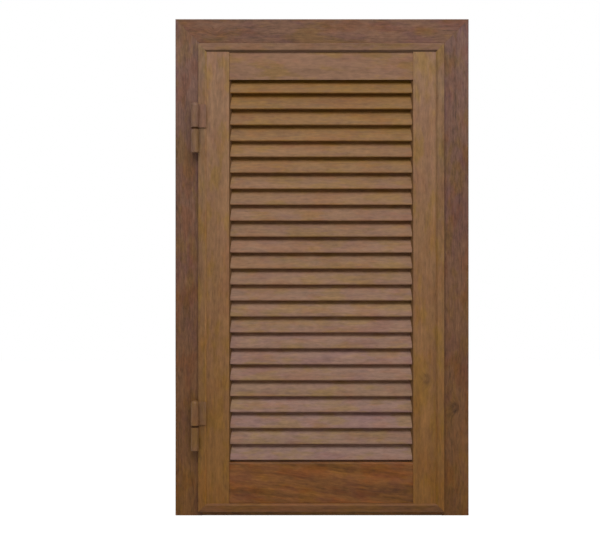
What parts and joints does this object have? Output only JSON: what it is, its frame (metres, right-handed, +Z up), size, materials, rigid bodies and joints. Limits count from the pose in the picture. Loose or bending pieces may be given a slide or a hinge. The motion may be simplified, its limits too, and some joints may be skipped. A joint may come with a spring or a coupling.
{
  "type": "louvred door",
  "caption": "Louvred shutter door: one outward-opening leaf with fixed slats on lift-off hinges in its own frame, with sliding bolts at its back.",
  "frame": {"origin": "middle of the sill's underside, halfway through the frame's depth", "axes": "+X from the hinges to the bolts, +Y from the front (outside) to the back, +Z up"},
  "size_m": [0.65, 0.0784, 1.1],
  "materials": {
    "wood_effect_coating": "aluminium with a satin wood-grain coating",
    "bare_aluminium": "as cast or sawn, inside the tubes",
    "zinc_steel": "bright zinc plated",
    "dark_painted_steel": "dark brown satin paint",
    "dark_brown_plastic": "moulded, matt",
    "black_rubber": "matt weather seal"
  },
  "bodies": {
    "frame": {"jamb_hinge_side": "wood_effect_coating", "jamb_bolt_side": "wood_effect_coating", "head": "wood_effect_coating", "sill": "wood_effect_coating", "head_corner_cleats": "bare_aluminium", "sill_brackets": "bare_aluminium", "frame_seal": "black_rubber", "bolt_keepers": "dark_brown_plastic", "upper_hinge_pintle": "wood_effect_coating", "lower_hinge_pintle": "wood_effect_coating", "hinge_pins": "zinc_steel", "hinge_washers": "dark_brown_plastic", "pintle_screws": "zinc_steel"},
    "leaf": {"leaf_edge_left": "wood_effect_coating", "leaf_edge_right": "wood_effect_coating", "leaf_edge_top": "wood_effect_coating", "leaf_edge_bottom": "wood_effect_coating", "stile_left": "wood_effect_coating", "stile_right": "wood_effect_coating", "rail_top": "wood_effect_coating", "rail_bottom": "wood_effect_coating", "leaf_corner_cleats": "bare_aluminium", "rail_spigots": "bare_aluminium", "spigot_screws": "zinc_steel", "slat_comb_left": "dark_brown_plastic", "slat_comb_right": "dark_brown_plastic", "slat_01": "wood_effect_coating", "slat_02": "wood_effect_coating", "slat_03": "wood_effect_coating", "slat_04": "wood_effect_coating", "slat_05": "wood_effect_coating", "slat_06": "wood_effect_coating", "slat_07": "wood_effect_coating", "slat_08": "wood_effect_coating", "slat_09": "wood_effect_coating", "slat_10": "wood_effect_coating", "slat_11": "wood_effect_coating", "slat_12": "wood_effect_coating", "slat_13": "wood_effect_coating", "slat_14": "wood_effect_coating", "slat_15": "wood_effect_coating", "slat_16": "wood_effect_coating", "slat_17": "wood_effect_coating", "slat_18": "wood_effect_coating", "slat_19": "wood_effect_coating", "slat_20": "wood_effect_coating", "slat_21": "wood_effect_coating", "slat_22": "wood_effect_coating", "slat_23": "wood_effect_coating", "slat_24": "wood_effect_coating", "upper_hinge_strap": "wood_effect_coating", "lower_hinge_strap": "wood_effect_coating", "strap_screws": "zinc_steel", "upper_bolt_plate": "dark_painted_steel", "lower_bolt_plate": "dark_painted_steel", "bolt_plate_screws": "zinc_steel"},
    "upper_bolt": {"upper_bolt": "zinc_steel", "upper_bolt_knob": "dark_brown_plastic"},
    "lower_bolt": {"lower_bolt": "zinc_steel", "lower_bolt_knob": "dark_brown_plastic"}
  },
  "joints": [
    {"name": "leaf_hinge", "type": "hinge", "parent": "frame", "child": "leaf", "pos_m": [-0.2802, -0.0415, 0.53], "axis": [0, 0, -1], "range_deg": [0, 175]},
    {"name": "upper_bolt_slide", "type": "slide", "parent": "leaf", "child": "upper_bolt", "axis": [0, 0, 1], "range_m": [0, 0.018]},
    {"name": "lower_bolt_slide", "type": "slide", "parent": "leaf", "child": "lower_bolt", "axis": [0, 0, -1], "range_m": [0, 0.018]}
  ]
}
